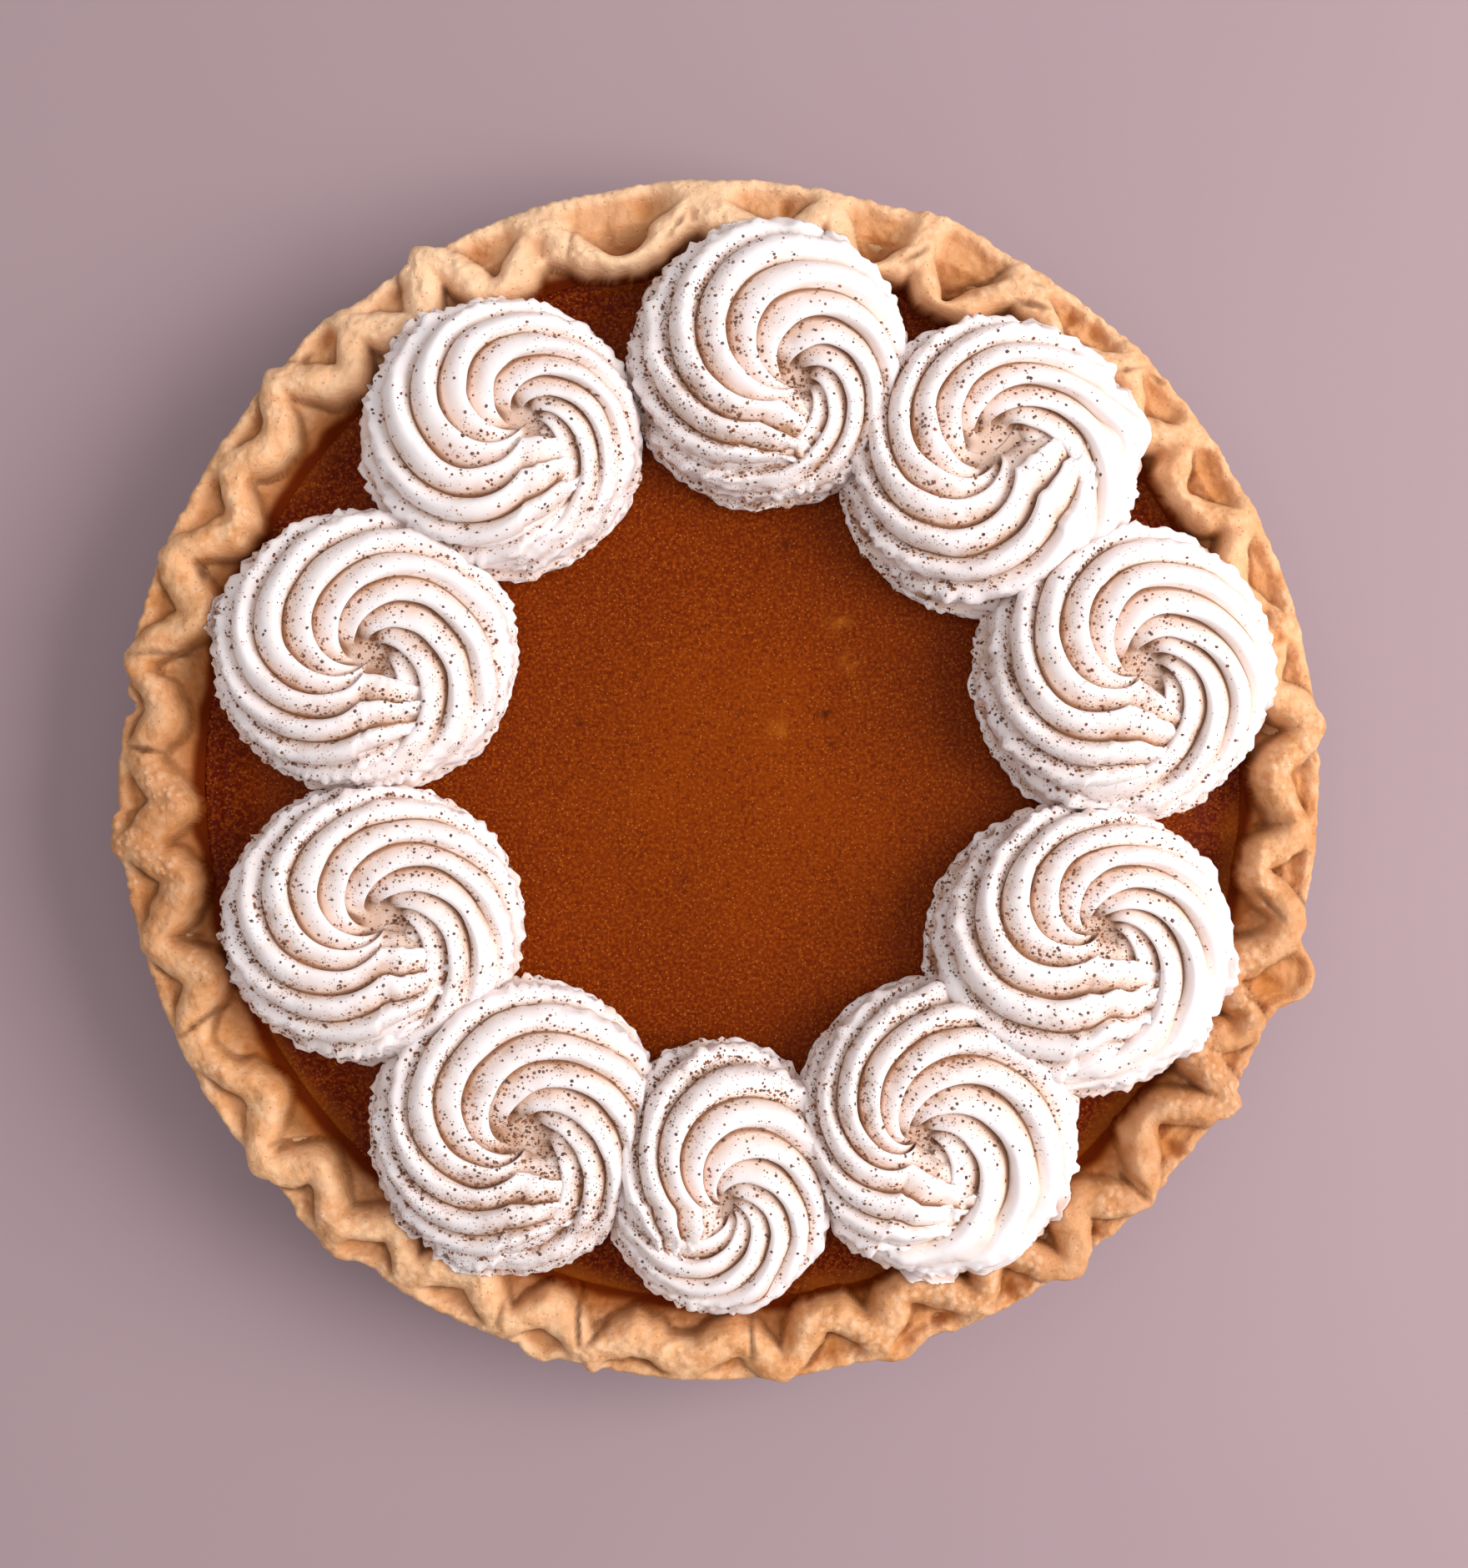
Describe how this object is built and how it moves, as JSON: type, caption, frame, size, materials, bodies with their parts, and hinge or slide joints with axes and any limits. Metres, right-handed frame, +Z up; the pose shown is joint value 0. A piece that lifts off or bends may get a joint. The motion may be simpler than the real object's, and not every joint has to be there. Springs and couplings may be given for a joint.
{
  "type": "pumpkin pie",
  "caption": "Round pumpkin pie in a thin metal tin, with a hand-crimped pastry rim, a smooth filling and a ring of piped whipped cream swirls dusted with spice.",
  "frame": {"origin": "middle of the tin's underside, on the surface it rests on", "axes": "+Z up out of the pie; +X to the right and +Y to the top when it is seen from above as pictured"},
  "size_m": [0.256, 0.253, 0.054],
  "materials": {
    "tin": "satin pressed sheet",
    "crust": "matt baked pastry, golden tan with browned spots",
    "filling": "semi-gloss set custard, deep orange brown",
    "whipped_cream": "soft satin cream, white with spice specks"
  },
  "bodies": {
    "root": {"pie_tin": "tin", "crust": "crust", "filling": "filling", "whipped_cream_01": "whipped_cream", "whipped_cream_02": "whipped_cream", "whipped_cream_03": "whipped_cream", "whipped_cream_04": "whipped_cream", "whipped_cream_05": "whipped_cream", "whipped_cream_06": "whipped_cream", "whipped_cream_07": "whipped_cream", "whipped_cream_08": "whipped_cream", "whipped_cream_09": "whipped_cream", "whipped_cream_10": "whipped_cream"}
  },
  "joints": []
}
